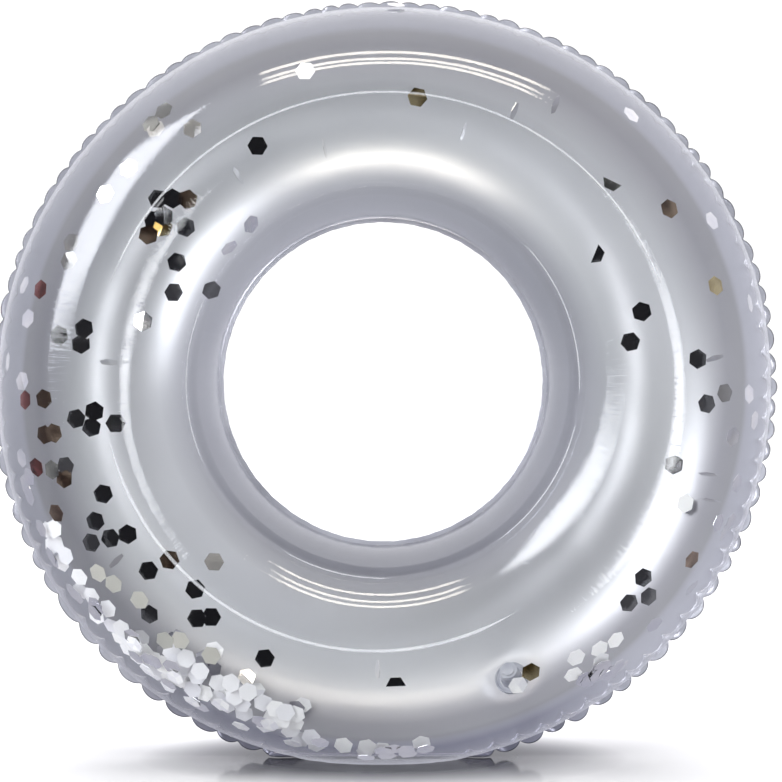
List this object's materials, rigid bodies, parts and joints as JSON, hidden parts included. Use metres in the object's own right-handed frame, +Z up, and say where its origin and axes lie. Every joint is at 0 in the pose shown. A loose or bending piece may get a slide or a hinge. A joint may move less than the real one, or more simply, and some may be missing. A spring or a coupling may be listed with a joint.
{
  "type": "inflatable pool float",
  "caption": "Ring-shaped inflatable pool float, clear front sheet and silver back sheet, loose hexagonal sequins inside, pop-out air valve.",
  "frame": {"origin": "on the floor under the middle of the ring, which stands on its edge", "axes": "+Z up, +Y along the ring's axis from the clear front sheet to the silver back sheet, +X to the right seen from the front"},
  "size_m": [0.5376, 0.1504, 0.5287],
  "materials": {
    "clear_pvc": "clear glossy film",
    "silver_pvc": "satin metallic pearl film",
    "valve_pvc": "clear soft moulded plastic",
    "sequin_foil": "mirror-bright metallised foil"
  },
  "bodies": {
    "float": {"front_film": "clear_pvc", "back_film": "silver_pvc", "outer_weld_seam": "silver_pvc", "inner_weld_seam": "silver_pvc", "valve_flange": "valve_pvc", "valve_cuff": "valve_pvc", "clinging_sequin_01": "sequin_foil", "clinging_sequin_02": "sequin_foil", "clinging_sequin_03": "sequin_foil", "clinging_sequin_04": "sequin_foil", "clinging_sequin_05": "sequin_foil", "clinging_sequin_06": "sequin_foil", "clinging_sequin_07": "sequin_foil", "clinging_sequin_08": "sequin_foil", "clinging_sequin_09": "sequin_foil", "clinging_sequin_10": "sequin_foil", "clinging_sequin_11": "sequin_foil", "clinging_sequin_12": "sequin_foil", "clinging_sequin_13": "sequin_foil", "clinging_sequin_14": "sequin_foil", "clinging_sequin_15": "sequin_foil", "clinging_sequin_16": "sequin_foil", "clinging_sequin_17": "sequin_foil", "clinging_sequin_18": "sequin_foil", "clinging_sequin_19": "sequin_foil", "clinging_sequin_20": "sequin_foil", "clinging_sequin_21": "sequin_foil", "clinging_sequin_22": "sequin_foil", "clinging_sequin_23": "sequin_foil", "clinging_sequin_24": "sequin_foil", "clinging_sequin_25": "sequin_foil", "clinging_sequin_26": "sequin_foil", "clinging_sequin_27": "sequin_foil", "clinging_sequin_28": "sequin_foil", "clinging_sequin_29": "sequin_foil", "clinging_sequin_30": "sequin_foil", "clinging_sequin_31": "sequin_foil", "clinging_sequin_32": "sequin_foil"},
    "stem": {"valve_stem": "valve_pvc"},
    "plug": {"valve_plug": "valve_pvc", "plug_tether": "valve_pvc"},
    "flap": {"valve_flap": "valve_pvc"},
    "loose_sequins": {"loose_sequin_01": "sequin_foil", "loose_sequin_02": "sequin_foil", "loose_sequin_03": "sequin_foil", "loose_sequin_04": "sequin_foil", "loose_sequin_05": "sequin_foil", "loose_sequin_06": "sequin_foil", "loose_sequin_07": "sequin_foil", "loose_sequin_08": "sequin_foil", "loose_sequin_09": "sequin_foil", "loose_sequin_10": "sequin_foil", "loose_sequin_11": "sequin_foil", "loose_sequin_12": "sequin_foil", "loose_sequin_13": "sequin_foil", "loose_sequin_14": "sequin_foil", "loose_sequin_15": "sequin_foil", "loose_sequin_16": "sequin_foil"}
  },
  "joints": [
    {"name": "valve_slide", "type": "slide", "parent": "float", "child": "stem", "axis": [0.2478, 0.7815, -0.5726], "range_m": [0, 0.012], "deforming": ["valve_cuff"]},
    {"name": "plug_hinge", "type": "hinge", "parent": "stem", "child": "plug", "pos_m": [0.08709, 0.05764, 0.04189], "axis": [-0.3104, 0.6239, 0.7172], "range_deg": [0, 110]},
    {"name": "flap_hinge", "type": "hinge", "parent": "stem", "child": "flap", "pos_m": [0.08536, 0.04697, 0.05042], "axis": [0.3104, -0.6239, -0.7172], "range_deg": [0, 40], "stiffness_Nm_per_rad": 0.0001, "springref_deg": -11.46},
    {"name": "sequin_slide_round", "type": "hinge", "parent": "float", "child": "loose_sequins", "pos_m": [0, 0, 0.26], "axis": [0, -1, 0], "range_deg": [-6, 14]}
  ]
}
